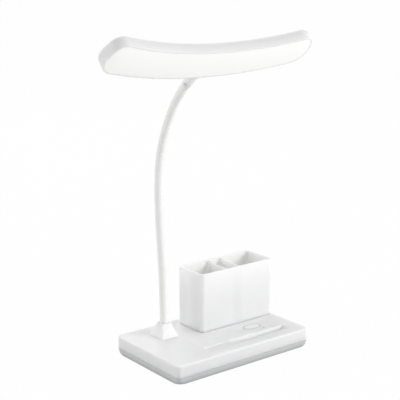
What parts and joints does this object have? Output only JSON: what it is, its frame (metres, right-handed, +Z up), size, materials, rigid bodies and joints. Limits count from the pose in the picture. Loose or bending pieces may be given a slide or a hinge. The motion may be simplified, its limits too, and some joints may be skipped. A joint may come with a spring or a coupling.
{
  "type": "desk lamp",
  "caption": "Flexible-arm desk lamp with a crescent light bar on a rectangular weighted base that holds a lift-out pen pot and has a phone slot.",
  "frame": {"origin": "on the desk, under the middle of the base's footprint, in the plane of the non-slip ring", "axes": "+X to the right along the base's front edge, +Y to the back, +Z up"},
  "size_m": [0.2895, 0.1483, 0.3931],
  "materials": {
    "cover_plastic": "satin white",
    "tub_plastic": "satin silver-grey",
    "sleeve": "matt white silicone",
    "diffuser": "milky white",
    "mark_ink": "pale grey print",
    "light_pipe": "clear",
    "pad_rubber": "matt",
    "steel": "plain",
    "socket_steel": "plain",
    "brass": "plain",
    "cell_wrap": "film",
    "board": "solder mask",
    "strip": "white coat",
    "led": "phosphor",
    "foam": "conductive foam",
    "lead_sheath": "plain"
  },
  "bodies": {
    "base": {"base_cover": "cover_plastic", "base_tub": "tub_plastic", "non_slip_ring": "pad_rubber", "base_screws": "steel", "weight_plate": "steel", "battery_cell": "cell_wrap", "control_board": "board", "board_screws": "steel", "touch_plate": "brass", "touch_foam": "foam", "touch_mark": "mark_ink", "status_light": "light_pipe", "charge_board": "board", "charge_socket": "socket_steel", "charge_screws": "steel", "arm_ferrule": "steel", "ferrule_nut": "brass", "base_leads": "lead_sheath", "arm_sleeve_0": "sleeve"},
    "pen_pot": {"pen_pot": "cover_plastic"},
    "arm_link_1": {"arm_core_1": "steel", "arm_sleeve_1": "sleeve", "arm_lead_1": "lead_sheath"},
    "arm_link_2": {"arm_core_2": "steel", "arm_sleeve_2": "sleeve", "arm_lead_2": "lead_sheath"},
    "arm_link_3": {"arm_core_3": "steel", "arm_sleeve_3": "sleeve", "arm_lead_3": "lead_sheath"},
    "arm_link_4": {"arm_core_4": "steel", "arm_sleeve_4": "sleeve", "arm_lead_4": "lead_sheath"},
    "arm_link_5": {"arm_core_5": "steel", "arm_sleeve_5": "sleeve", "arm_lead_5": "lead_sheath"},
    "arm_link_6": {"arm_core_6": "steel", "arm_sleeve_6": "sleeve", "arm_lead_6": "lead_sheath"},
    "head": {"arm_core_7": "steel", "arm_sleeve_7": "sleeve", "arm_lead_7": "lead_sheath", "neck_tube": "steel", "neck_connector": "cover_plastic", "neck_set_screw": "steel", "neck_plate": "steel", "neck_screws": "steel", "head_housing": "cover_plastic", "led_board": "strip", "led_chips": "led", "led_board_screws": "steel", "head_lead": "lead_sheath", "diffuser": "diffuser"}
  },
  "joints": [
    {"name": "pot_lift", "type": "slide", "parent": "base", "child": "pen_pot", "axis": [0, 0, 1], "range_m": [0, 0.04]},
    {"name": "arm_lean", "type": "hinge", "parent": "base", "child": "arm_link_1", "pos_m": [-0.0545, 0.0275, 0.0476], "axis": [0, 1, 0], "range_deg": [-12, 12]},
    {"name": "arm_low_bend", "type": "hinge", "parent": "arm_link_1", "child": "arm_link_2", "pos_m": [-0.0545, 0.02863, 0.09058], "axis": [1, 0, 0], "range_deg": [-10, 15]},
    {"name": "arm_low_bend_2", "type": "hinge", "parent": "arm_link_2", "child": "arm_link_3", "pos_m": [-0.0545, 0.03181, 0.13346], "axis": [1, 0, 0], "range_deg": [-10, 15]},
    {"name": "arm_low_bend_3", "type": "hinge", "parent": "arm_link_3", "child": "arm_link_4", "pos_m": [-0.0545, 0.03519, 0.17632], "axis": [1, 0, 0], "range_deg": [-10, 15]},
    {"name": "arm_high_bend", "type": "hinge", "parent": "arm_link_4", "child": "arm_link_5", "pos_m": [-0.0545, 0.03519, 0.2193], "axis": [1, 0, 0], "range_deg": [-10, 15]},
    {"name": "arm_high_bend_2", "type": "hinge", "parent": "arm_link_5", "child": "arm_link_6", "pos_m": [-0.0545, 0.02646, 0.26125], "axis": [1, 0, 0], "range_deg": [-10, 15]},
    {"name": "arm_high_bend_3", "type": "hinge", "parent": "arm_link_6", "child": "head", "pos_m": [-0.0545, 0.00764, 0.29983], "axis": [1, 0, 0], "range_deg": [-10, 15]}
  ],
  "couplings": [
    {"joint": "arm_low_bend_2", "follows": "arm_low_bend", "ratio": 1},
    {"joint": "arm_low_bend_3", "follows": "arm_low_bend", "ratio": 1},
    {"joint": "arm_high_bend_2", "follows": "arm_high_bend", "ratio": 1},
    {"joint": "arm_high_bend_3", "follows": "arm_high_bend", "ratio": 1}
  ]
}
